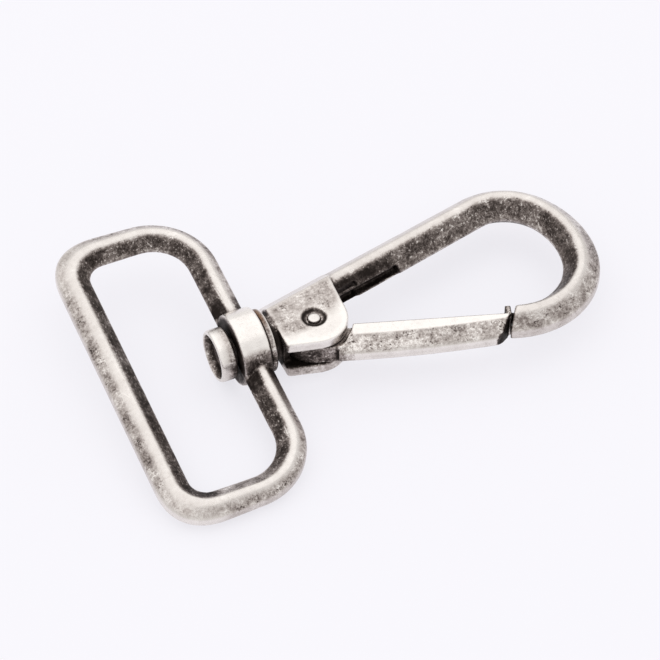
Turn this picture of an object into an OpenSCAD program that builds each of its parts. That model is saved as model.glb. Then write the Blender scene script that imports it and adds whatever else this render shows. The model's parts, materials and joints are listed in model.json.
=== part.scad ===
// Swivel snap hook with a rectangular strap loop, die cast, antique silver finish.
// The swivel axis is X. The origin is the centre of the strap slot, +X points to the nose of the
// hook, +Y to the side of its spine and +Z up, square to the plane of the hook.

/* [Strap loop] */
// Clear width of the strap slot, across the swivel axis
slot_w = 40; // [32:1:50]
// Clear length of the strap slot, along the swivel axis
slot_l = 13.2; // [12:0.1:16]
// Inner radius of the two corners away from the hook
far_corner_r = 2.3; // [2:0.1:4]
// Inner radius of the two corners beside the collar
near_corner_r = 5.2; // [4:0.1:6]
// Width of the loop's bar beside the collar, in the plane of the loop
bar_w = 4.45; // [4.2:0.05:4.55]
// Extra width of the bar away from the hook
far_extra = 0.6; // [0:0.05:1]
// Extra width at the two corners away from the hook, which squares them a little
corner_extra = 0.35; // [0:0.05:0.8]
// Turn of the loop about the swivel axis as it lies on a table
loop_roll = 8.5; // [0:0.5:10]

/* [Swivel] */
// Radius of the collar on the loop
collar_r = 5.25; // [4.6:0.05:5.3]
// Length of the collar
collar_l = 4.2; // [4:0.1:4.5]
// Radius of the stud's shank
shank_r = 2.2; // [1.8:0.1:2.5]
// Running clearance between the shank and the collar, on the radius
swivel_gap = 0.07; // [0.03:0.01:0.1]
// Radius of the stud's head
head_r = 3.8; // [3.4:0.1:4]
// Length of the stud's head
head_l = 2.5; // [2:0.1:2.8]

/* [Hook] */
// Angle between the spine and the swivel axis
spine_angle = 12.6; // [12:0.1:13]
// Length of the straight spine, along its ridge
spine_l = 35.5; // [35:0.1:36]
// Thickness of the two cheeks and the slot between them
cheek_t = 6.6; // [6.2:0.1:7]
// Width of the slot between the cheeks
slot_t = 3.1; // [2.9:0.1:3.3]
// Radius of the cheeks around the rivet
cheek_r = 4.8; // [4.6:0.1:4.9]

/* [Gate] */
// Angle between the gate and the swivel axis, on the side away from the spine
gate_angle = 19; // [18.5:0.1:19.5]
// Distance from the rivet to the gate's tip, along the gate
gate_l = 27.5; // [27:0.1:27.6]
// Thickness of the gate's bar
gate_t = 4.7; // [4.4:0.1:5]
// Thickness of the gate's tail, between the cheeks
tail_t = 2.94; // [2.8:0.02:2.94]

/* [Rivet and spring] */
// Radius of the rivet
pin_r = 0.9; // [0.8:0.05:0.9]
// Diameter of the spring wire
wire_d = 0.5; // [0.4:0.05:0.5]
// Turns of the spring's coil
coil_turns = 3; // [2:1:3]

/* [Hidden] */
$fn = 96;

// Along the swivel axis
collar_x = slot_l / 2 + 2.5;
collar_end = collar_x + collar_l / 2;
head_end = collar_x - collar_l / 2 - 0.4;
flange_x = collar_end + 0.1;
flange_l = 1;
flange_r = 4.6;
neck_r = 3.3;
cheek_x = flange_x + flange_l + 1;
stud_end = cheek_x + 0.3;

// Plan of the hook
pivot = [cheek_x + 5.6, -1.57];
spine_at = [cheek_x + 1.2, 2.55];
spine_side = 12;
block_l = 30;
eye_route = [[spine_l, 8, 70], [0, 13.5, 48], [0, 10.35, 101]];

// Corners of the sections: distance outward, height above the mid-plane, corner radius. The inner
// side of the hook's section is drawn 3 mm deep, and is stretched to its depth
loop_ridge = 2.7;
loop_section = lozenge([0, 0.35], [[loop_ridge, 2.15, 1], [bar_w, 0.65, 0.8]]);
eye_corners = [[0.07, 3.33, 1.25], [2.7, 0.7, 0.9]];
drawn_depth = 3;
eye_section = lozenge([-drawn_depth, 0.4], eye_corners);

// Depth of the hook's section inside its ridge: at the root of the spine, at its end and at the nose
eye_depths = [3.5, 2.95, 2.4];
// Growth of the section's outer side from the root to the nose
eye_growth = 0.08;

// Room for the spring, in the spine's frame: a pocket at the cheeks and a groove along the spine
pocket_x = [4.6, 13.2];
pocket_y = [-7, -0.7];
groove_end = 20.2;
groove_y = [-4.1, -1.1];
groove_t = 1.8;

// Gate, in its own frame: rivet at the origin, bar along +X, the eye on its +Y side
gate_face = -0.86;
gate_w = 4.4;
gate_bow_r = 165;
gate_bow_x = 7;
shoulder_r = 5.4;
tail_r = 4.5;
tail_gap = 0.3;
channel_t = 1.74;
channel_floor = -3;
coil_room = 2.6;
tip_slope = 0.525;
tip_step = 0.7;
tip_step_y = 2.4;
tooth_t = 3.8;
tooth_top = 0.95;
tongue_t = 1.8;
notch_gap = 0.15;
parting_slope = 0.33;
parting_x = 28.26;
pin_gap = 0.06;

// Spring
coil_r = pin_r + 0.1 + wire_d / 2;
coil_h = coil_turns * wire_d;
gate_leg = 17;
spine_leg = 19.8;

// Unit vector along v
function unit(v) = v / norm(v);

// Unit vector at an angle from +X
function heading(a) = [cos(a), sin(a)];

// The same turned a quarter to the left
function left(a) = [-sin(a), cos(a)];

// Arc that rounds the corner p between its neighbours a and b
function fillet(a, p, b, r, steps = 5) =
    let (
        u = unit(a - p),
        v = unit(b - p),
        half = acos(u * v) / 2,
        c = p + unit(u + v) * r / sin(half),
        side = u.x * v.y - u.y * v.x > 0 ? -1 : 1,
        t = p + u * r / tan(half) - c,
        start = atan2(t.y, t.x),
        turn = side * (180 - 2 * half)
    )
    [for (i = [0:steps]) c + r * heading(start + turn * i / steps)];

// Outline through corners [x, y, radius], each rounded by its own radius
function rounded(corners) =
    let (n = len(corners))
    [for (i = [0:n - 1])
        let (
            a = corners[(i + n - 1) % n],
            p = corners[i],
            b = corners[(i + 1) % n]
        )
        each p[2] > 0
            ? fillet([a.x, a.y], [p.x, p.y], [b.x, b.y], p[2])
            : [[p.x, p.y]]
    ];

// Bar section that is the same above and below the mid-plane, with one corner on it at the inside
function lozenge(apex, upper) =
    rounded(concat(
        [[apex[0], 0, apex[1]]],
        [for (c = upper) [c.x, -c.y, c[2]]],
        [for (i = [len(upper) - 1:-1:0]) upper[i]]
    ));

// Stations [x, y, heading] along straights and right turns, each entry of the route being
// [straight length, turn radius, turn angle]
function stations(route, at, ahead, i = 0) =
    i == len(route) ? [[at.x, at.y, ahead]] :
    let (
        run = route[i][0],
        bend = route[i][1],
        turn = route[i][2],
        centre = at + run * heading(ahead) - bend * left(ahead),
        steps = ceil(turn / 4),
        straight = run > 0 ? [[at.x, at.y, ahead]] : [],
        arc = [for (k = [0:steps - 1])
            let (
                a = ahead - turn * k / steps,
                p = centre + bend * left(a)
            )
            [p.x, p.y, a]]
    )
    concat(straight, arc, stations(route, centre + bend * left(ahead - turn), ahead - turn, i + 1));

// A section (distance to the left of the route, height) stood up at a station
function stand(section, station) =
    [for (p = section)
        let (q = [station.x, station.y] + p.x * left(station[2]))
        [q.x, q.y, p.y]];

// One solid through rings of points, with flat ends, or closed on itself
module skin(rings, closed = false) {
    m = len(rings[0]);
    n = len(rings);
    ends = [
        [for (k = [0:m - 1]) k],
        [for (k = [m - 1:-1:0]) (n - 1) * m + k]
    ];
    sides = [for (i = [0:n - (closed ? 1 : 2)], k = [0:m - 1])
        let (
            next = (i + 1) % n * m,
            j = (k + 1) % m
        )
        [i * m + k, next + k, next + j, i * m + j]];
    polyhedron([for (ring = rings) each ring], closed ? sides : concat(ends, sides));
}

// Extrudes a section (Y, Z) along +X
module along_x(length) {
    rotate([90, 0, 90]) linear_extrude(length) children();
}

// Turns a profile (distance along X, radius) about the swivel axis
module turned(profile) {
    rotate([0, 90, 0]) rotate_extrude() polygon([for (p = profile) [p[1], p[0]]]);
}

// Flat plate of thickness t about the mid-plane
module plate(t) {
    translate([0, 0, -t / 2]) linear_extrude(t) children();
}

// Places a part in the gate's frame, closed
module at_gate() {
    translate(pivot) rotate(-gate_angle) children();
}

// Places a part in the spine's frame: +X along the ridge, +Y outward
module at_spine() {
    translate(spine_at) rotate(spine_angle) children();
}

// Extra width of the loop's bar at a station: growing away from the hook, most at the far corners
function loop_extra(station) =
    far_extra * (0.5 - station.x / slot_l)
    + (station.x < 0 ? corner_extra * pow(sin(2 * station[2]), 2) : 0);

// Section of the loop's bar with its outer facets longer by extra
function wider(extra) =
    [for (p = loop_section) [p.x + extra * max(0, p.x - loop_ridge) / (bar_w - loop_ridge), p.y]];

// Rectangular loop with its collar, one casting
module strap_loop() {
    route = [
        [slot_w - 2 * far_corner_r, far_corner_r, 90],
        [slot_l - far_corner_r - near_corner_r, near_corner_r, 90],
        [slot_w - 2 * near_corner_r, near_corner_r, 90],
        [slot_l - near_corner_r - far_corner_r, far_corner_r, 90]
    ];
    path = stations(route, [-slot_l / 2, far_corner_r - slot_w / 2], 90);
    rim = 0.35;
    color("#aaa49b")
    rotate([loop_roll, 0, 0])
    difference() {
        union() {
            skin([for (i = [0:len(path) - 2]) stand(wider(loop_extra(path[i])), path[i])], closed = true);
            translate([collar_x, 0, 0]) turned(rounded([
                [-collar_l / 2, 0, 0],
                [-collar_l / 2, collar_r, rim],
                [collar_l / 2, collar_r, rim],
                [collar_l / 2, 0, 0]
            ]));
        }
        translate([collar_x, 0, 0]) rotate([0, 90, 0])
            cylinder(r = shank_r + swivel_gap, h = 2 * collar_l, center = true);
    }
}

// Swivel stud: dished button head inside the loop, shank through the collar into the hook
module swivel_stud() {
    rim = 0.45;
    dish_r = head_r - 0.55;
    dish_l = 1.1;
    color("#8d877e")
    turned(rounded([
        [stud_end, 0, 0],
        [stud_end, shank_r, 0],
        [head_end, shank_r, 0],
        [head_end, head_r, rim],
        [head_end - head_l, head_r, rim],
        [head_end - head_l, dish_r, 0],
        [head_end - head_l + dish_l, dish_r - 0.4, 0],
        [head_end - head_l + dish_l, 0, 0]
    ]));
}

// Plan of the cheeks: round about the rivet, straight to the neck and to the spine
module cheek_plan() {
    corner = [cheek_x, -5.05];
    far_y = 4.2;
    round_edge = [for (a = [-105:3:-4]) pivot + cheek_r * heading(a)];
    right = round_edge[len(round_edge) - 1];
    polygon(concat(
        fillet([cheek_x, spine_side], corner, round_edge[0], 0.5),
        round_edge,
        [[right.x + 0.4, far_y], [right.x + 0.6, spine_side], [cheek_x, spine_side]]
    ));
}

// Cheeks and root of the spine, bevelled along the spine's outer side, a hair outside the spine
module head_block() {
    h = cheek_t / 2;
    bevel = 2.5;
    outer = eye_corners[1];
    edge = outer.x + 0.12;
    intersection() {
        plate(cheek_t) cheek_plan();
        at_spine() translate([-block_l / 2, 0, 0]) along_x(block_l) polygon(rounded([
            [-spine_side, -h, 0],
            [outer.x - bevel, -h, 0.5],
            [edge, -outer.y, outer[2]],
            [edge, outer.y, outer[2]],
            [outer.x - bevel, h, 0.5],
            [-spine_side, h, 0]
        ]));
    }
}

// Flange against the collar and neck behind it, run into the cheeks
module neck() {
    rim = 0.3;
    neck_end = cheek_x + 1;
    turned(rounded([
        [neck_end, 0, 0],
        [flange_x, 0, 0],
        [flange_x, flange_r, rim],
        [flange_x + flange_l, flange_r, rim],
        [flange_x + flange_l, neck_r, 0],
        [neck_end, neck_r, 0]
    ]));
}

// Depth of the hook's section at station i
function eye_depth(i, last) =
    i == 0 ? eye_depths[0] : eye_depths[1] + (eye_depths[2] - eye_depths[1]) * (i - 1) / (last - 1);

// Spine, eye and nose: the section carried along its route, its inner side growing slimmer and its
// outer side wider
module eye() {
    path = stations(eye_route, spine_at, spine_angle);
    last = len(path) - 1;
    skin([for (i = [0:last])
        let (
            inner = eye_depth(i, last) / drawn_depth,
            outer = 1 + eye_growth * i / last
        )
        stand([for (p = eye_section) [p.x * (p.x < 0 ? inner : outer), p.y]], path[i])]);
}

// Block between two corners in the plan, t thick about the mid-plane
module block(x, y, t) {
    translate([x[0], y[0], -t / 2]) cube([x[1] - x[0], y[1] - y[0], t]);
}

// Room for the gate's tail between the cheeks, and for the spring along the spine
module gate_slot() {
    clear_y = -9;
    clear_x = pivot.x + 12;
    translate(pivot) cylinder(r = tail_r + tail_gap, h = slot_t, center = true);
    plate(slot_t) polygon([
        [cheek_x - 1, clear_y],
        [cheek_x - 1, -3.9],
        [cheek_x + 1.7, -3.4],
        pivot,
        [clear_x, pivot.y],
        [clear_x, clear_y]
    ]);
    at_spine() block(pocket_x, pocket_y, slot_t);
    at_spine() block([pocket_x[1] - 1, groove_end], groove_y, groove_t);
}

// Room left for the gate in front of the nose, and the notch in the nose for the gate's tongue
module parting() {
    inner = 4;
    outer = -7;
    at_gate() plate(2 * cheek_t) polygon([
        [parting_x - 9, inner],
        [parting_x + inner * parting_slope, inner],
        [parting_x + outer * parting_slope, outer],
        [parting_x - 9, outer]
    ]);
    at_gate() block([gate_l - 0.5, gate_l + 1.8], [-0.3, 3.7], tongue_t + 2 * notch_gap);
}

// Hook: flange, neck, two cheeks, spine and nose, one casting
module hook_body() {
    sink_r = 1.7;
    sink_depth = 0.4;
    color("#b4aea5")
    difference() {
        union() {
            eye();
            head_block();
            neck();
        }
        gate_slot();
        rotate([0, 90, 0]) cylinder(r = shank_r, h = stud_end);
        translate(pivot) cylinder(r = pin_r, h = 2 * cheek_t, center = true);
        for (side = [-1, 1])
            translate([pivot.x, pivot.y, side * (cheek_t / 2 + 1 - sink_depth)])
                cylinder(r = sink_r, h = 2, center = true);
        parting();
    }
}

// Bar of the gate, bowed a little on its outer side, with its shoulder and slanted tip
module gate_bar() {
    h = gate_t / 2;
    bow_start = -91.5;
    bow_turn = 10;
    start = 3;
    deep = 5;
    intersection() {
        translate([gate_bow_x, gate_face - gate_w + gate_bow_r, 0]) rotate(bow_start)
            rotate_extrude(angle = bow_turn, $fn = 720) translate([gate_bow_r, 0]) polygon(rounded([
                [-6.5, -h, 0],
                [-2.5, -h, 0.5],
                [0, -0.75, 0.9],
                [0, 0.75, 0.9],
                [-2.5, h, 0.5],
                [-6.5, h, 0]
            ]));
        plate(2 * gate_t) difference() {
            polygon([
                [start, gate_face],
                [gate_l, gate_face],
                [gate_l - tip_step_y * tip_slope, gate_face - tip_step_y],
                [gate_l - tip_step_y * tip_slope - tip_step, gate_face - tip_step_y - tip_step],
                [gate_l - deep * tip_slope - tip_step, gate_face - deep],
                [start, gate_face - deep]
            ]);
            circle(r = shoulder_r);
        }
    }
}

// Tail of the gate around the rivet, between the cheeks, and its run into the bar
module gate_tail() {
    top = 2.4;
    plate(tail_t) {
        intersection() {
            circle(r = tail_r);
            translate([-tail_r, -tail_r]) square([2 * tail_r, tail_r + top]);
        }
        polygon([[0, -tail_r], [3, -4.45], [7, -3.9], [7, gate_face], [0, gate_face]]);
    }
}

// Gate: channel-backed bar, tail, tip tooth and the tongue that laps behind the nose
module gate() {
    tip = gate_l - 0.6;
    color("#b9b3aa")
    at_gate() difference() {
        union() {
            gate_bar();
            gate_tail();
            block([tip, gate_l + 0.25], [gate_face - 0.5, tooth_top], tooth_t);
            block([tip, gate_l + 1.4], [-0.2, 0.46], tongue_t);
        }
        block([0, gate_l - 3], [channel_floor, 5], channel_t);
        cylinder(r = coil_room, h = channel_t, center = true);
        cylinder(r = pin_r + pin_gap, h = 2 * gate_t, center = true);
    }
}

// Rivet through both cheeks and the gate's tail, with domed ends in the countersinks
module pivot_rivet() {
    top = cheek_t / 2 - 0.02;
    dome = 0.3;
    color("#c4bfb7")
    translate(pivot) rotate_extrude() polygon(concat(
        [[0, -top]],
        [for (i = [0:6]) [pin_r * sin(15 * i), -top + dome * (1 - cos(15 * i))]],
        [for (i = [6:-1:0]) [pin_r * sin(15 * i), top - dome * (1 - cos(15 * i))]]
    ));
}

// Torsion spring around the rivet: one leg is bent to lie in the spine's groove, the other lies in
// the gate's channel
module gate_spring() {
    r = wire_d / 2;
    sides = 8;
    steps = 14;
    z0 = coil_h / 2 - r;
    rise = 45;
    from = 90 + rise;
    to = 360 * coil_turns - 90 - gate_angle;
    n_coil = ceil((to - from) / 360 * steps);
    coil = [for (i = [0:n_coil])
        let (p = pivot + coil_r * heading(from + (to - from) * i / n_coil))
        [p.x, p.y, z0 - 2 * z0 * i / n_coil]];
    // Elbow: where the rising leg meets the line of the groove, rounded
    lie = groove_y[1] - 2 * r;
    gap = [coil[0].x, coil[0].y] - spine_at;
    depth = gap * left(spine_angle) - lie;
    elbow = [coil[0].x, coil[0].y] - depth / sin(rise - spine_angle) * heading(rise);
    groove_leg = spine_at + spine_leg * heading(spine_angle) + lie * left(spine_angle);
    bend = fillet(groove_leg, elbow, [coil[0].x, coil[0].y], 1, 4);
    toe = [coil[n_coil].x, coil[n_coil].y] + gate_leg * heading(-gate_angle);
    line = concat(
        [[groove_leg.x, groove_leg.y, z0]],
        [for (p = bend) [p.x, p.y, z0]],
        coil,
        [[toe.x, toe.y, -z0]]
    );
    n = len(line);
    color("#9a958c")
    skin([for (i = [0:n - 1])
        let (
            t = unit(line[min(i + 1, n - 1)] - line[max(i - 1, 0)]),
            s = unit(cross([0, 0, 1], t)),
            w = cross(t, s)
        )
        [for (k = [0:sides - 1])
            let (h = heading(360 * k / sides))
            line[i] + r * (h.x * s + h.y * w)]
    ]);
}

strap_loop();
swivel_stud();
hook_body();
gate();
pivot_rivet();
gate_spring();
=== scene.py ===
import json
import math

import bpy
import numpy as np
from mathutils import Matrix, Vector, noise


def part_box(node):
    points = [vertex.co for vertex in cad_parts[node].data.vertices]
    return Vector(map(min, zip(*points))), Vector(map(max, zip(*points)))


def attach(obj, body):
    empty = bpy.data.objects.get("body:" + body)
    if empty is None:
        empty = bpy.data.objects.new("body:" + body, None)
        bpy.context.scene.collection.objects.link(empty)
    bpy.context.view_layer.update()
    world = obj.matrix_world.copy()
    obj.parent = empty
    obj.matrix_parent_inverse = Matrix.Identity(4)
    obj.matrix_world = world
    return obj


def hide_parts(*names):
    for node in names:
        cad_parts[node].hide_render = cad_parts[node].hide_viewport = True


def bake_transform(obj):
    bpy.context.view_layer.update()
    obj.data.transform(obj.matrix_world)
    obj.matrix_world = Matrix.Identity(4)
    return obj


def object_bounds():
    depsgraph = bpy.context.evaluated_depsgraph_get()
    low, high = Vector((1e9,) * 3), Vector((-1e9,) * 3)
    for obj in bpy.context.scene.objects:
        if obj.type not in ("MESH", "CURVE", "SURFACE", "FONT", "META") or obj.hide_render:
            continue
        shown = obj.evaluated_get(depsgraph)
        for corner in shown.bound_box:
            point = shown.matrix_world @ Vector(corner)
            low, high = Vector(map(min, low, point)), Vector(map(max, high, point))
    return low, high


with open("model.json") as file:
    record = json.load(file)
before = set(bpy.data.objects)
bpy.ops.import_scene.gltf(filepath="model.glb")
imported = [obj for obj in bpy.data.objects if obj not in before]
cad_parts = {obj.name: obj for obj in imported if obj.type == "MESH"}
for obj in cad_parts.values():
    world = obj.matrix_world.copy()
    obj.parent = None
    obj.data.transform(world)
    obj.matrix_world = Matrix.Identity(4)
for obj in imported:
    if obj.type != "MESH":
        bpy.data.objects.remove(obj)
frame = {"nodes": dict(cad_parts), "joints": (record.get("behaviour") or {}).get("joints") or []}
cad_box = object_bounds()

# Swivel snap hook in antique silver. Each cast piece is the imported solid with its edges melted
# round, its skin made uneven, and its patina worked out from its shape: dark where fingers and
# polishing wheels don't reach, bright on ridges and flats, with painted shade and painted
# highlights worked into it. Lengths are in metres.

MM = 0.001

# Places in the frame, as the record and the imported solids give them
JOINT = {joint["name"]: Vector(joint["pos_m"]) for joint in frame["joints"]}
PIVOT = JOINT["gate_pivot"]
GATE_ANGLE = math.radians(-19)
SPINE_ANGLE = math.radians(12.6)
SPINE_START = Vector((14.5, 2.55, 0)) * MM
LOOP_ROLL = math.radians(8.5)

# Heights of the rounded ridges above the mid-plane of their bars
LOOP_CROWN = 1.86 * MM
HOOK_CROWN = 2.78 * MM

# Wear, from 0, dark, to 1, bare silver: on the ridges and where nothing rubs, and painted shade in
# narrow gaps
LOOP_RIDGE = 0.81
HOOK_RIDGE = 0.80
UNTOUCHED = 0.0
# Near black: painted shade in narrow gaps between parts
CREVICE_SHADE = 0.03

# Smallest length that a vector is divided by
TINY = 1e-9

# Camera, as fitted to the photo
AZIMUTH = math.radians(24.355)
ELEVATION = math.radians(47.134)
TARGET = Vector((21.13, -2.03, 0)) * MM
DISTANCE = 419.92 * MM
LENS_MM = 163.636
SENSOR_MM = 36

# Table and light, in metres and watts
TABLE_HALF = 1.5
TABLE_GAP = 0.02 * MM
BOX_PLACE = Vector((0, 0.35, 0.9))
BOX_AIM = Vector((0.02, 0.1, 0))
BOX_SIDE = 1.9
BOX_POWER = 3.6


# ---------------------------------------------------------------- meshes

def coordinates(mesh):
    """The vertices' places as an array."""
    co = np.empty(len(mesh.vertices) * 3)
    mesh.vertices.foreach_get("co", co)
    return co.reshape(-1, 3)


def normals(mesh):
    """The vertices' normals as an array."""
    n = np.empty(len(mesh.vertices) * 3)
    mesh.vertices.foreach_get("normal", n)
    return n.reshape(-1, 3)


def edge_pairs(mesh):
    """The two vertices of each edge as an array."""
    pairs = np.empty(len(mesh.edges) * 2, dtype=np.int64)
    mesh.edges.foreach_get("vertices", pairs)
    return pairs.reshape(-1, 2)


def relaxed(values, pairs, rounds):
    """Values at the vertices, each drawn halfway to the mean of its neighbours, as many times as
    there are rounds."""
    count = len(values)
    degree = np.maximum(np.bincount(pairs.ravel(), minlength=count), 1)
    flat = values.reshape(count, -1).copy()
    for _ in range(rounds):
        for k in range(flat.shape[1]):
            column = flat[:, k]
            total = np.bincount(pairs[:, 0], column[pairs[:, 1]], count)
            total += np.bincount(pairs[:, 1], column[pairs[:, 0]], count)
            flat[:, k] += 0.5 * (total / degree - column)
    return flat.reshape(values.shape)


def smoothstep(low, high, x):
    """0 up to low, 1 from high on, smooth between. low may be the larger."""
    t = np.clip((x - low) / (high - low), 0, 1)
    return t * t * (3 - 2 * t)


def noise_at(co, size, seed):
    """Smooth noise from -1 to 1 with lumps of about that size."""
    shift = Vector((seed, 2 * seed, 3 * seed))
    return np.array([noise.noise(Vector(p) / size + shift) for p in co])


def remeshed(name, node, cell):
    """A new object with the CAD node's shape on an even mesh of that cell."""
    piece = bpy.data.objects.new(name, frame["nodes"][node].data.copy())
    bpy.context.scene.collection.objects.link(piece)
    piece.data.materials.clear()
    remesh = piece.modifiers.new("remesh", "REMESH")
    remesh.mode = "VOXEL"
    remesh.voxel_size = cell
    graph = bpy.context.evaluated_depsgraph_get()
    even = bpy.data.meshes.new_from_object(piece.evaluated_get(graph))
    piece.modifiers.clear()
    piece.data = even
    even.name = name
    even.polygons.foreach_set("use_smooth", [True] * len(even.polygons))
    return piece


def set_float(mesh, name, values):
    """Stores one number per vertex for the materials."""
    layer = mesh.attributes.new(name, "FLOAT", "POINT")
    layer.data.foreach_set("value", values.astype(np.float32))


def cast_piece(name, node, cell, melt, wear_and_light_of, lumps=0.012 * MM, seed=1.0):
    """A casting: edges melted round, skin uneven by about lumps, and its wear with painted shade
    and highlights stored for the material. melt is how many rounds the edges are relaxed. The wear
    function, called with co and n, gives the wear with painted shade and highlights, and the
    painted brown reflection, that its place and facing would leave."""
    piece = remeshed(name, node, cell)
    mesh = piece.data
    pairs = edge_pairs(mesh)
    co = relaxed(coordinates(mesh), pairs, melt)
    mesh.vertices.foreach_set("co", co.ravel())
    mesh.update()
    n = normals(mesh)
    # Edges stand out from their relaxed surroundings and are rubbed; hollows keep their patina
    relief = np.sum((co - relaxed(co, pairs, 24)) * n, axis=1) / (0.5 * cell)
    wear_and_light, brown_reflection = wear_and_light_of(co, relaxed(n, pairs, 3))
    strength = np.where(relief < 0, 0.5, 0.175)
    wear_and_light = wear_and_light + strength * np.clip(relief, -1.2, 0.6)
    # Wear together with painted shade and painted highlights, stored for the material
    set_float(mesh, "wear_and_light", np.clip(relaxed(wear_and_light, pairs, 3), 0, 1))
    # The flange's painted brown reflection, stored for the material
    set_float(mesh, "brown_reflection", np.clip(relaxed(brown_reflection, pairs, 2), 0, 1))
    broad, fine = noise_at(co, 2.6 * MM, seed), noise_at(co, 0.9 * MM, seed + 5)
    swell = lumps * (broad + 0.5 * fine - 0.7)
    mesh.vertices.foreach_set("co", (co + n * swell[:, None]).ravel())
    mesh.update()
    return piece


# ---------------------------------------------------------------- wear and painted light of each piece

def turned_by(co, angle, origin=Vector((0, 0, 0))):
    """Places in a frame turned by angle about Z, from that origin."""
    c, s = math.cos(angle), math.sin(angle)
    d = co - np.array(origin)
    return np.stack([c * d[:, 0] + s * d[:, 1], -s * d[:, 0] + c * d[:, 1], d[:, 2]], axis=1)


def unrolled(co):
    """Places or normals of the loop turned back into the plane of the hook."""
    c, s = math.cos(LOOP_ROLL), math.sin(LOOP_ROLL)
    return np.stack([co[:, 0], c * co[:, 1] + s * co[:, 2], -s * co[:, 1] + c * co[:, 2]], axis=1)


def blended(a, b, share):
    """a where share is 0, b where it is 1."""
    return a + (b - a) * share


def within(x, low, high):
    """Where x lies between low and high."""
    return (x > low) & (x < high)


def unit_rows(v):
    """Each row scaled to length 1."""
    return v / np.maximum(np.linalg.norm(v, axis=1), TINY)[:, None]


def away_from_line(co, start, end):
    """Unit vectors in the plane of the hook from the nearest point of a line."""
    a, b = np.array(start), np.array(end)
    t = np.clip((co[:, :2] - a) @ (b - a) / np.dot(b - a, b - a), 0, 1)
    return unit_rows(co[:, :2] - (a + t[:, None] * (b - a)))


def around_axis(co, n):
    """Distance from the swivel axis, and how far round it the normal faces up."""
    radius = np.hypot(co[:, 1], co[:, 2])
    return radius, n[:, 2] / np.maximum(np.hypot(n[:, 1], n[:, 2]), TINY)


def below_crown(height, crown):
    """Millimetres from the ridge down or up towards the mid-plane."""
    return (crown - np.abs(height)) / MM


def bar_wear_and_highlight(out, n, height, crown, ridge, inside, outside):
    """Wear of a six-sided bar: bright on its ridge, dark inside and half bright outside, each with
    a painted highlight along the edge at the mid-plane. out points away from the opening, height is
    above or below the mid-plane, and ridge, inside and outside are the wear there and in the middle
    of the facets."""
    drop = below_crown(height, crown)
    edge = np.abs(height) / MM
    inner = blended(ridge, inside, smoothstep(0.1, 0.5, drop))
    # Painted highlight along the inner facet's edge at the mid-plane
    inner += 0.2 * smoothstep(0.42, 0.1, edge)
    outer = blended(ridge, outside, smoothstep(0.1, 0.9, drop))
    # Painted highlight along the outer facet's edge at the mid-plane
    outer += 0.1 * smoothstep(0.75, 0.45, edge)
    facing_out = np.sum(out * n[:, :2], axis=1)
    return blended(inner, outer, smoothstep(-0.1, 0.1, facing_out))


def loop_wear_and_light(co, n):
    """Loop: bars by facet, collar bright on top and mottled at its sides, dark where they meet with
    patina and painted shade, and the collar's end faces dark with a painted highlight on their rim.
    """
    p, m = unrolled(co), unrolled(n)
    across, along = p[:, 0], p[:, 1]
    # Nearest place in the middle of the slot, which bars and corners face away from
    core = np.clip(p[:, :2], [-3.0 * MM, -16 * MM], [2.0 * MM, 16 * MM])
    out = unit_rows(p[:, :2] - core)
    # The far corners are rubbed outside, and the short bar on the -Y side is rubbed inside
    corner = smoothstep(15 * MM, 19 * MM, np.abs(along)) * smoothstep(-3 * MM, -6 * MM, across)
    end_bar = smoothstep(-15 * MM, -18 * MM, along)
    end_bar *= smoothstep(5 * MM, 2.5 * MM, np.abs(across))
    outside = 0.64 + 0.12 * corner
    inside = 0.24 + 0.42 * end_bar
    bar = bar_wear_and_highlight(out, m, p[:, 2], LOOP_CROWN, LOOP_RIDGE, inside, outside)
    # Patina and painted shade darken the facets beside the collar
    root = smoothstep(9.0 * MM, 5.6 * MM, np.abs(along)) * (co[:, 0] > 5 * MM)
    bar -= 0.5 * root * smoothstep(0.1, 0.5, below_crown(p[:, 2], LOOP_CROWN))
    radius, up = around_axis(co, n)
    collar = blended(0.22, 0.95, smoothstep(0.32, 0.68, np.abs(up)))
    # End faces: dark with patina and painted shade beside the stud and hook, and a painted
    # highlight on their outer rim
    end_face = 0.08 + 0.5 * smoothstep(4.5 * MM, 5.1 * MM, radius)
    collar = np.where(np.abs(n[:, 0]) > 0.75, end_face, collar)
    in_bore = radius < 2.6 * MM
    collar = np.where(in_bore, UNTOUCHED, collar)
    on_collar = smoothstep(5.7 * MM, 5.35 * MM, radius)
    on_collar *= smoothstep(6.6 * MM, 6.9 * MM, co[:, 0])
    return blended(bar, collar, on_collar), np.zeros(len(co))


def stud_wear_and_shade(co, n):
    """Stud: bright rim, mottled side, dark in the dish, and painted shade on the side towards the
    collar and underneath.
    """
    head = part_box("swivel_stud")[0].x
    radius, up = around_axis(co, n)
    # Painted shade: the side darkens towards the collar, most of all underneath
    behind = smoothstep(head + 0.9 * MM, head + 2.0 * MM, co[:, 0])
    below = smoothstep(0.75, 0.1, up)
    side = 0.91 - 0.57 * behind * below - 0.2 * behind - 0.1 * below
    in_dish = radius < 3.2 * MM
    return np.where(in_dish, 0.4, side), np.zeros(len(co))


def spine_and_nose_wear_and_highlight(co, n):
    """Hook's bar by facet, with the bar's painted edge highlights: outside, brighter along the back
    of the spine than round the bend.
    """
    out = away_from_line(co, (21 * MM, 1 * MM), (48.5 * MM, -0.6 * MM))
    back = smoothstep(54 * MM, 44 * MM, co[:, 0]) * smoothstep(-2 * MM, 2 * MM, co[:, 1])
    outside = 0.66 + 0.18 * back
    bar = bar_wear_and_highlight(out, n, co[:, 2], HOOK_CROWN, HOOK_RIDGE, 0.35, outside)
    # Patina gathers on the inner facet beside the cheeks
    root = smoothstep(37 * MM, 28 * MM, co[:, 0])
    root *= turned_by(co, SPINE_ANGLE, SPINE_START)[:, 1] < 0
    return bar - 0.3 * root * smoothstep(0.3, 0.7, below_crown(co[:, 2], HOOK_CROWN))


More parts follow.
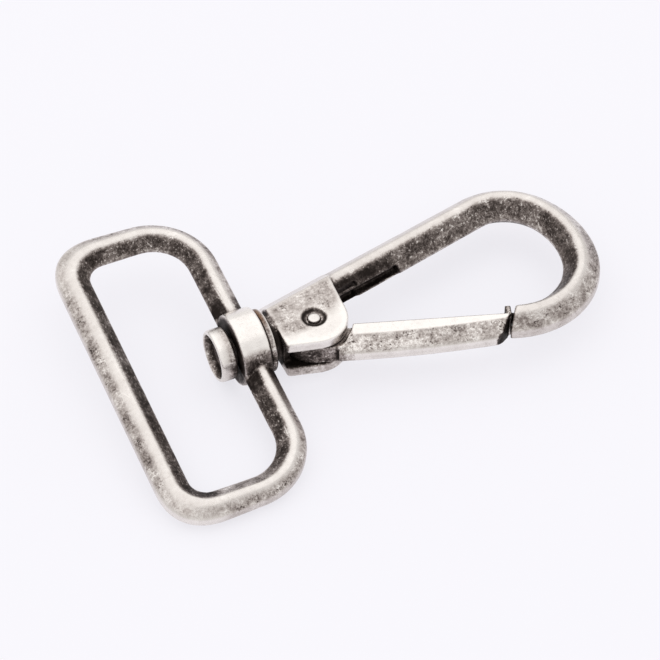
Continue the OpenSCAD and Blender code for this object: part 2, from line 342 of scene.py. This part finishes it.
def cheek_wear_and_shade(co, n):
    """Cheeks: bright beyond the rivet and along the free edge, mottled on the rest of the flat, and
    painted shade on the edges of the lower half.
    """
    x, y = (co[:, 0] - PIVOT.x) / MM, (co[:, 1] - PIVOT.y) / MM
    rubbed = np.maximum(smoothstep(0.3, 2.8, 0.6 * x - 0.8 * y), smoothstep(1.2, 2.6, -y))
    level = smoothstep(0.75, 0.97, np.abs(n[:, 2]))
    cheek = blended(0.88, 0.74 + 0.22 * rubbed, level)
    # Painted shade on the edges below the mid-plane
    return cheek - 0.22 * (co[:, 2] < 0) * (1 - level)


def hook_wear_and_light(co, n):
    """Hook: spine and eye by facet, cheeks bright, their inside, the pocket and the neck dark, with
    painted shade at the nose's gap and under the neck and flange, and a painted brown reflection on
    the flange.
    """
    x, y, height = co[:, 0], co[:, 1], np.abs(co[:, 2])
    on_cheeks = smoothstep(24.4 * MM, 23.6 * MM, x)
    wear_and_light = blended(spine_and_nose_wear_and_highlight(co, n), cheek_wear_and_shade(co, n), on_cheeks)
    # Rivet's countersinks, and faces that look inwards between the cheeks
    from_pivot = np.hypot(x - PIVOT.x, y - PIVOT.y)
    wear_and_light = np.where((from_pivot < 1.8 * MM) & (height > 2 * MM), 0.36, wear_and_light)
    between = height < 1.62 * MM
    slot = between & within(x, 12.9 * MM, 24.4 * MM) & (from_pivot < 6.2 * MM)
    sheltered = (n[:, 2] * np.sign(co[:, 2]) < -0.25) & (x < 34 * MM)
    wear_and_light = np.where(sheltered | slot, 0.52, wear_and_light)
    # Spring's pocket and groove, along the spine
    s = turned_by(co, SPINE_ANGLE, SPINE_START)
    pocket = between & (s[:, 0] < 13.3 * MM) & (s[:, 1] < -0.5 * MM)
    groove = (height < 0.94 * MM) & within(s[:, 0], 3.1 * MM, 20.3 * MM)
    groove &= within(s[:, 1], -3 * MM, -0.9 * MM)
    wear_and_light = np.where(pocket | groove, UNTOUCHED, wear_and_light)
    # End face of the nose, facing the gate's tip: painted shade in the gap between them
    facing_gate = turned_by(n, GATE_ANGLE)[:, 0] < -0.5
    wear_and_light = np.where(facing_gate & within(x, 43 * MM, 49 * MM) & (y < -6 * MM), CREVICE_SHADE, wear_and_light)
    # Neck, and the flange before it: painted shade underneath, lighter on top, with a painted brown
    # reflection on the flange's +Y side
    flange_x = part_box("hook_body")[0].x
    radius, up = around_axis(co, n)
    neck = 0.05 + 0.4 * smoothstep(0.3, 0.9, up)
    wear_and_light = np.where((x < flange_x + 2.1 * MM) & (radius < 4.0 * MM), neck, wear_and_light)
    on_flange = x < flange_x + 1.1 * MM
    rim = smoothstep(flange_x + 0.5 * MM, flange_x + 0.8 * MM, x)
    flange = blended(0.12, 0.42 + 0.45 * rim, smoothstep(0.05, 0.6, up))
    wear_and_light = np.where(on_flange, flange, wear_and_light)
    # Painted brown reflection on the flange before its rim, on the +Y side
    return wear_and_light, on_flange * (1 - rim) * smoothstep(-2.5 * MM, 0.5 * MM, y)


def gate_wear_and_shade(co, n):
    """Gate: bright along its flat band and its outer edge, mottled between, dark in the channel,
    and painted shade on the sides of its tooth and where its tip meets the nose."""
    g, m = turned_by(co, GATE_ANGLE, PIVOT), turned_by(n, GATE_ANGLE)
    along, across, height = g[:, 0], g[:, 1], np.abs(g[:, 2])
    level = np.abs(n[:, 2])
    wear_and_light = 0.73 + 0.27 * smoothstep(0.86, 0.97, level) + 0.15 * smoothstep(0.8, 0.97, -m[:, 1])
    facing_eye = m[:, 1] > 0.6
    wear_and_light = np.where(facing_eye, 0.5, wear_and_light)
    tail = along < 5.2 * MM
    wear_and_light = np.where(tail, 0.2 + 0.5 * smoothstep(0, 5 * MM, along), wear_and_light)
    channel = (height < 0.92 * MM) & (across > -3.1 * MM) & (along < 24.6 * MM)
    wear_and_light = np.where(channel, UNTOUCHED, wear_and_light)
    # Tooth: painted shade on its sides, lighter on its flat top
    tooth = (along > 26.7 * MM) & (across > -0.8 * MM)
    wear_and_light = np.where(tooth, 0.1 + 0.55 * smoothstep(0.8, 0.95, level), wear_and_light)
    # Painted shade in the gap where the tongue and tip meet the nose
    tongue = (along > 27.85 * MM) | (tooth & (level > 0.5) & (height < 1.2 * MM))
    tip = (m[:, 0] > 0.4) & (along > 20 * MM)
    return np.where(tip | tongue, CREVICE_SHADE, wear_and_light), np.zeros(len(co))


def rivet_wear(co, n):
    """Rivet: domes rubbed bright on top."""
    top = smoothstep(0.45, 0.92, np.abs(n[:, 2]))
    return 0.32 + 0.56 * top, np.zeros(len(co))


def spring_wear(co, n):
    """Spring: oiled wire, dark all over."""
    return np.full(len(co), 0.06), np.zeros(len(co))


# ---------------------------------------------------------------- materials

class Graph:
    """Short ways to add shader nodes to a material."""

    def __init__(self, name):
        self.material = bpy.data.materials.new(name)
        self.material.use_nodes = True
        self.tree = self.material.node_tree
        self.shader = self.tree.nodes["Principled BSDF"]

    def plug(self, socket, value):
        """Links a node's output to the socket, or sets a constant on it."""
        if isinstance(value, bpy.types.NodeSocket):
            self.tree.links.new(value, socket)
        else:
            socket.default_value = value

    def math(self, operation, a, b=0.0, clamp=False):
        """Result of a math node."""
        node = self.tree.nodes.new("ShaderNodeMath")
        node.operation = operation
        node.use_clamp = clamp
        self.plug(node.inputs[0], a)
        self.plug(node.inputs[1], b)
        return node.outputs[0]

    def attribute(self, name):
        """The number that set_float stored under that name."""
        node = self.tree.nodes.new("ShaderNodeAttribute")
        node.attribute_name = name
        return node.outputs["Fac"]

    def place(self, scale=(1, 1, 1), turn=(0, 0, 0)):
        """Place on the object, scaled and then turned."""
        coordinate = self.tree.nodes.new("ShaderNodeTexCoord")
        mapping = self.tree.nodes.new("ShaderNodeMapping")
        mapping.inputs["Scale"].default_value = scale
        mapping.inputs["Rotation"].default_value = turn
        self.tree.links.new(coordinate.outputs["Object"], mapping.inputs["Vector"])
        return mapping.outputs[0]

    def noise(self, size, detail, rough, place=None):
        """Noise from about -1 to 1 with lumps of that size. The node's own noise lies around 0.5
        and seldom strays from it by more than 0.3."""
        node = self.tree.nodes.new("ShaderNodeTexNoise")
        node.inputs["Scale"].default_value = 1 / size
        node.inputs["Detail"].default_value = detail
        node.inputs["Roughness"].default_value = rough
        self.plug(node.inputs["Vector"], place or self.place())
        centred = self.math("SUBTRACT", node.outputs["Fac"], 0.5)
        return self.math("MULTIPLY", centred, 3.2)

    def ramp(self, value, low, high, start=0.0, end=1.0):
        """start where value is low, end where it is high, smooth between. low may be the larger."""
        node = self.tree.nodes.new("ShaderNodeMapRange")
        node.interpolation_type = "SMOOTHSTEP"
        self.plug(node.inputs["Value"], value)
        sockets = ("From Min", "From Max", "To Min", "To Max")
        for socket, number in zip(sockets, (low, high, start, end)):
            node.inputs[socket].default_value = number
        return node.outputs["Result"]

    def colours(self, value, stops):
        """Colour by value. The first two stops are the ends, and the rest lie between."""
        node = self.tree.nodes.new("ShaderNodeValToRGB")
        ramp = node.color_ramp
        for k, (position, colour) in enumerate(stops):
            stop = ramp.elements[k] if k < 2 else ramp.elements.new(position)
            stop.position = position
            stop.color = (*colour, 1)
        self.plug(node.inputs["Fac"], value)
        return node.outputs["Color"]

    def mix(self, factor, a, b):
        """Colour a where factor is 0, b where it is 1."""
        node = self.tree.nodes.new("ShaderNodeMix")
        node.data_type = "RGBA"
        self.plug(node.inputs["Factor"], factor)
        self.plug(node.inputs["A"], a)
        self.plug(node.inputs["B"], b)
        return node.outputs["Result"]

    def bump(self, height, distance, strength, base=None):
        """Normals tilted by a height, on top of the normals in base."""
        node = self.tree.nodes.new("ShaderNodeBump")
        node.inputs["Distance"].default_value = distance
        node.inputs["Strength"].default_value = strength
        self.plug(node.inputs["Height"], height)
        if base:
            self.plug(node.inputs["Normal"], base)
        return node.outputs["Normal"]


# Patina from its darkest to bare silver, by how far it is rubbed back, with painted shade and
# highlights on the same scale. The ends come first, because a new ramp already has two stops, and
# the stops between are added to them.
PATINA = (
    (0.0, (0.017, 0.012, 0.010)),
    (1.0, (0.872, 0.828, 0.790)),
    (0.25, (0.072, 0.057, 0.051)),
    (0.5, (0.235, 0.198, 0.182)),
    (0.75, (0.500, 0.450, 0.421)),
)
# The same where a painted brown reflection lies on the flange
BROWN_REFLECTION = ((0.0, (0.030, 0.016, 0.010)), (1.0, (0.270, 0.165, 0.110)))


def antique_silver(name, flecks=1.0):
    """Silver plating with dark patina, rubbed back where the piece's stored wear is high, and with
    the painted shade and highlights stored along with the wear. flecks is how uneven the patina is."""
    g = Graph(name)
    # Stored wear, with painted shade and painted highlights in it
    wear_and_light = g.attribute("wear_and_light")
    fleck = g.noise(0.50 * MM, 5, 0.68)
    grain = g.noise(0.17 * MM, 2, 0.6)
    patch = g.noise(2.4 * MM, 3, 0.55)
    # The patina is uneven where any of it is left, and nearly even on bare ridges
    room = g.ramp(wear_and_light, 0.88, 0.68, 0.12 * flecks, flecks)
    spread = g.math("MULTIPLY", fleck, 0.34)
    spread = g.math("ADD", spread, g.math("MULTIPLY", grain, 0.17))
    spread = g.math("ADD", spread, g.math("MULTIPLY", patch, 0.27))
    polish_and_light = g.math("ADD", wear_and_light, g.math("MULTIPLY", spread, room), clamp=True)
    # Clusters of pits that keep their patina, and flecks that lost it
    cluster = g.ramp(g.noise(1.5 * MM, 2, 0.5), -0.2, 0.5)
    pit = g.math("MULTIPLY", g.ramp(g.noise(0.26 * MM, 2, 0.5), 0.1, 0.45), cluster)
    pit = g.math("MULTIPLY", pit, g.math("MULTIPLY", room, g.ramp(wear_and_light, 0.4, 0.65, 0.0, 0.42)))
    polish_and_light = g.math("SUBTRACT", polish_and_light, pit, clamp=True)
    bare = g.ramp(g.noise(0.3 * MM, 3, 0.6, g.place((1, 0.5, 1), (0, 0.6, 0.4))), 0.2, 0.6)
    bare = g.math("MULTIPLY", bare, g.ramp(wear_and_light, 0.05, 0.2, 0.0, 0.42))
    polish_and_light = g.math("ADD", polish_and_light, g.math("MULTIPLY", bare, g.ramp(wear_and_light, 0.6, 0.4)), clamp=True)
    # Hairline scratches through the patina
    lines = g.math("ABSOLUTE", g.noise(1.6 * MM, 1, 0.4, g.place((1, 0.08, 1), (0.3, 0.5, 0.9))))
    other = g.math("ABSOLUTE", g.noise(1.3 * MM, 1, 0.4, g.place((0.07, 1, 1), (0.8, 0.2, 0.4))))
    scratch = g.ramp(g.math("MINIMUM", lines, other), 0.010, 0.035, 1.0, 0.0)
    scratch = g.math("MULTIPLY", scratch, g.ramp(patch, -0.3, 0.4))
    scratch = g.math("MULTIPLY", scratch, g.ramp(wear_and_light, 0.1, 0.3, 0.05, 0.3))
    scratch = g.math("MULTIPLY", scratch, g.ramp(wear_and_light, 0.78, 0.6, 0.15, 1.0))
    polish_and_light = g.math("ADD", polish_and_light, scratch, clamp=True)
    # Brown where the flange's painted brown reflection is stored
    shown = g.mix(g.attribute("brown_reflection"), g.colours(polish_and_light, PATINA), g.colours(polish_and_light, BROWN_REFLECTION))
    # Dark patina is duller and less of a metal than bare silver
    g.plug(g.shader.inputs["Base Color"], shown)
    g.plug(g.shader.inputs["Metallic"], g.ramp(polish_and_light, 0.1, 0.5, 0.75, 1.0))
    g.plug(g.shader.inputs["Specular Tint"], g.ramp(polish_and_light, 0.0, 0.5, 0.5, 1.0))
    rough = g.math("ADD", g.ramp(polish_and_light, 0.1, 0.95, 0.48, 0.27), g.math("MULTIPLY", grain, 0.05))
    g.plug(g.shader.inputs["Roughness"], rough)
    # Shallow pits with a fine grain over them
    normal = g.bump(g.ramp(fleck, -0.75, -0.2), 0.02 * MM, 0.5)
    normal = g.bump(grain, 0.010 * MM, 0.35, normal)
    g.plug(g.shader.inputs["Normal"], normal)
    return g.material


# ---------------------------------------------------------------- pieces

def add(piece, node, body, material):
    """Puts a finished piece in the place of its CAD node. With no body given, the piece is the
    spring, which keeps its place with its transform baked in and goes with no body."""
    piece.data.materials.append(material)
    if body:
        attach(piece, body)
    else:
        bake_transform(piece)
    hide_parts(node)


def build():
    """Every piece of the snap hook. Small pieces have finer meshes."""
    loop = cast_piece("strap_loop_cast", "strap_loop", 0.16 * MM, 5, loop_wear_and_light, seed=1)
    add(loop, "strap_loop", "loop", antique_silver("loop_silver"))
    stud = cast_piece("swivel_stud_cast", "swivel_stud", 0.11 * MM, 4, stud_wear_and_shade, seed=2)
    add(stud, "swivel_stud", "hook", antique_silver("stud_silver"))
    hook = cast_piece("hook_cast", "hook_body", 0.16 * MM, 5, hook_wear_and_light, seed=3)
    add(hook, "hook_body", "hook", antique_silver("hook_silver"))
    gate = cast_piece("gate_cast", "gate", 0.12 * MM, 4, gate_wear_and_shade, seed=4)
    add(gate, "gate", "gate", antique_silver("gate_silver", 1.3))
    rivet = cast_piece("rivet_headed", "pivot_rivet", 0.06 * MM, 3, rivet_wear, 0.006 * MM, 5)
    add(rivet, "pivot_rivet", "hook", antique_silver("rivet_silver"))
    spring = cast_piece("spring_wire", "gate_spring", 0.06 * MM, 3, spring_wear, 0.001 * MM, 6)
    add(spring, "gate_spring", None, antique_silver("spring_steel"))


# ---------------------------------------------------------------- stage

def camera():
    """Long lens, looking down at the hook from beside the loop."""
    forward = Vector((
        math.cos(ELEVATION) * math.sin(AZIMUTH),
        math.cos(ELEVATION) * math.cos(AZIMUTH),
        -math.sin(ELEVATION),
    ))
    eye = bpy.data.objects.new("camera", bpy.data.cameras.new("camera"))
    eye.location = TARGET - DISTANCE * forward
    eye.rotation_euler = forward.to_track_quat("-Z", "Y").to_euler()
    eye.data.lens = LENS_MM
    eye.data.sensor_width = SENSOR_MM
    bpy.context.scene.collection.objects.link(eye)
    bpy.context.scene.camera = eye


def floor():
    """Plain white light table just under the object, so shadows on it are faint."""
    z = cad_box[0][2] - TABLE_GAP
    corners = [(x * TABLE_HALF, y * TABLE_HALF, z) for x, y in ((-1, -1), (1, -1), (1, 1), (-1, 1))]
    mesh = bpy.data.meshes.new("table")
    mesh.from_pydata(corners, [], [(0, 1, 2, 3)])
    table = bpy.data.objects.new("table", mesh)
    bpy.context.scene.collection.objects.link(table)
    g = Graph("table_white")
    g.plug(g.shader.inputs["Base Color"], (0.245, 0.24, 0.245, 1))
    g.plug(g.shader.inputs["Roughness"], 0.9)
    g.plug(g.shader.inputs["Specular IOR Level"], 0.0)
    g.plug(g.shader.inputs["Emission Color"], (0.955, 0.945, 1.0, 1))
    g.plug(g.shader.inputs["Emission Strength"], 0.72)
    mesh.materials.append(g.material)


def light():
    """White surroundings with a wide soft box overhead, shown without a film curve."""
    world = bpy.data.worlds.new("studio")
    world.use_nodes = True
    sky = world.node_tree.nodes["Background"]
    sky.inputs["Color"].default_value = (1.0, 1.0, 1.0, 1)
    sky.inputs["Strength"].default_value = 0.92
    bpy.context.scene.world = world
    bpy.context.scene.view_settings.view_transform = "Standard"
    box = bpy.data.objects.new("overhead_box", bpy.data.lights.new("overhead_box", "AREA"))
    box.data.shape = "SQUARE"
    box.data.size = BOX_SIDE
    box.data.energy = BOX_POWER
    box.location = BOX_PLACE
    box.rotation_euler = (BOX_AIM - BOX_PLACE).to_track_quat("-Z", "Y").to_euler()
    bpy.context.scene.collection.objects.link(box)


build()
camera()
floor()
light()
